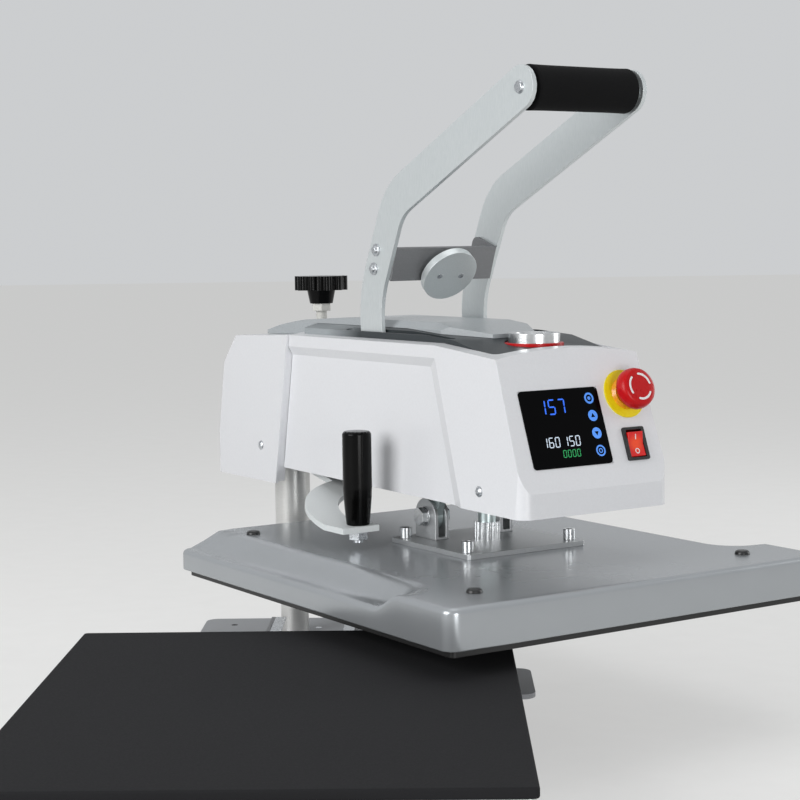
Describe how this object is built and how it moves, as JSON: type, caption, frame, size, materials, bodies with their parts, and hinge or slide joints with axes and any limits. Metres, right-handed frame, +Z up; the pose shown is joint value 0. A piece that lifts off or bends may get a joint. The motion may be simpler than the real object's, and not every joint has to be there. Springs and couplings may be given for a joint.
{
  "type": "flat heat press",
  "caption": "Swing-away flat heat press with a pull-out lower platen, a heated upper platen on a toggle, a magnet-held handle and a raked control panel.",
  "frame": {"origin": "middle of the outline on the floor, with the head swung out and the drawer drawn", "axes": "+X to the operator's right, +Y to the back, +Z up"},
  "size_m": [0.7314, 1.032, 0.631],
  "materials": {
    "base_paint": "grey powder coat",
    "black_rubber": "moulded, matt",
    "zinc_steel": "bright zinc plate",
    "column_steel": "turned and lightly brushed",
    "plain_aluminium": "milled",
    "silicone": "charcoal silicone, matt",
    "black_steel": "black powder coat",
    "dark_casting": "dark grey paint",
    "bronze": "sintered, oiled",
    "ground_steel": "ground",
    "red_plastic": "moulded, gloss",
    "pearl_white": "moulded, pearl gloss",
    "slate_plastic": "fine spark grain",
    "black_glass": "back-printed, gloss",
    "green_board": "solder mask",
    "yellow_plastic": "moulded, satin",
    "amber_plastic": "moulded, gloss",
    "grey_plastic": "moulded, satin",
    "black_plastic": "moulded, satin",
    "bright_steel": "satin plate",
    "black_foam": "closed-cell foam, fine skin",
    "silver_paint": "silver metallic paint",
    "coated_aluminium": "black non-stick coating",
    "insulation": "pressed fibre board",
    "chrome": "bright plate"
  },
  "bodies": {
    "base": {"base_plate": "base_paint", "base_feet": "black_rubber", "slide_brackets": "base_paint", "outer_slides": "zinc_steel", "column_post": "column_steel", "column_bolts": "zinc_steel", "stop_collar": "zinc_steel"},
    "drawer": {"inner_slides": "zinc_steel", "drawer_carriage": "base_paint", "lower_platen": "plain_aluminium", "silicone_pad": "silicone", "drawer_pull": "black_steel"},
    "head": {"swing_sleeve": "column_steel", "swing_block": "dark_casting", "arm_plates": "dark_casting", "arm_floor": "dark_casting", "arm_ties": "dark_casting", "pivot_bushes": "bronze", "spindle_bush": "bronze", "electromagnet": "ground_steel", "magnet_ring": "red_plastic", "housing_shell": "pearl_white", "rear_cover": "pearl_white", "top_panel": "slate_plastic", "top_hood": "slate_plastic", "display_glass": "black_glass", "control_board": "green_board", "estop_legend": "yellow_plastic", "estop_body": "amber_plastic", "rocker_frame": "black_plastic", "hook_bracket": "bright_steel", "swing_grip": "black_plastic", "grip_stud": "zinc_steel", "housing_screws": "zinc_steel"},
    "estop_plunger": {"estop_stem": "grey_plastic"},
    "estop_cap": {"estop_button": "red_plastic"},
    "rocker": {"rocker_key": "red_plastic"},
    "knob": {"pressure_knob": "black_plastic", "pressure_screw": "chrome"},
    "yoke": {"left_bar": "bright_steel", "right_bar": "bright_steel", "pivot_shaft": "ground_steel", "crank_hub": "ground_steel", "cross_plate": "bright_steel", "armature_disc": "ground_steel", "grip_tube": "bright_steel", "foam_grip": "black_foam", "yoke_bolts": "zinc_steel"},
    "platen": {"platen_cover": "silver_paint", "insulation_board": "insulation", "heating_plate": "coated_aluminium", "mount_plate": "bright_steel", "clevis_brackets": "chrome", "clevis_bolts": "chrome", "mount_bolts": "chrome", "guide_spindle": "ground_steel", "spindle_nut": "chrome", "cover_plugs": "black_plastic"},
    "link": {"toggle_links": "ground_steel"}
  },
  "joints": [
    {"name": "drawer_slide", "type": "slide", "parent": "base", "child": "drawer", "axis": [0, 1, 0], "range_m": [0, 0.298]},
    {"name": "head_swing", "type": "hinge", "parent": "base", "child": "head", "pos_m": [-0.16674, 0.394, 0.14], "axis": [0, 0, 1], "range_deg": [-34.2, 50]},
    {"name": "handle_tilt", "type": "hinge", "parent": "head", "child": "yoke", "pos_m": [0.02415, 0.16826, 0.269], "axis": [0.8271, 0.5621, 0], "range_deg": [0, 52], "stiffness_Nm_per_rad": 9, "springref_deg": -85.94},
    {"name": "platen_drop", "type": "slide", "parent": "head", "child": "platen", "axis": [0, 0, -1], "range_m": [0, 0.0165]},
    {"name": "link_turn", "type": "hinge", "parent": "platen", "child": "link", "pos_m": [0.0264, 0.16495, 0.198], "axis": [0.8271, 0.5621, 0], "range_deg": [-27, 0.5]},
    {"name": "knob_turn", "type": "hinge", "parent": "head", "child": "knob", "pos_m": [-0.12986, 0.39488, 0.322], "axis": [0, 0, 1], "range_deg": [-720, 720]},
    {"name": "estop_push", "type": "slide", "parent": "head", "child": "estop_plunger", "axis": [-0.5282, 0.7772, -0.342], "range_m": [0, 0.004], "stiffness_N_per_m": 1500, "springref_m": -0.002},
    {"name": "estop_twist", "type": "hinge", "parent": "estop_plunger", "child": "estop_cap", "pos_m": [0.18156, 0.03627, 0.33017], "axis": [0.5282, -0.7772, 0.342], "range_deg": [0, 40], "stiffness_Nm_per_rad": 0.2, "springref_deg": -5.73},
    {"name": "rocker_tip", "type": "hinge", "parent": "head", "child": "rocker", "pos_m": [0.1837, 0.03223, 0.27968], "axis": [0.8271, 0.5621, 0], "range_deg": [-14, 0]}
  ],
  "couplings": [
    {"joint": "platen_drop", "follows": "handle_tilt", "m_per_rad": 0.017629},
    {"joint": "link_turn", "follows": "handle_tilt", "ratio": -0.50169}
  ]
}
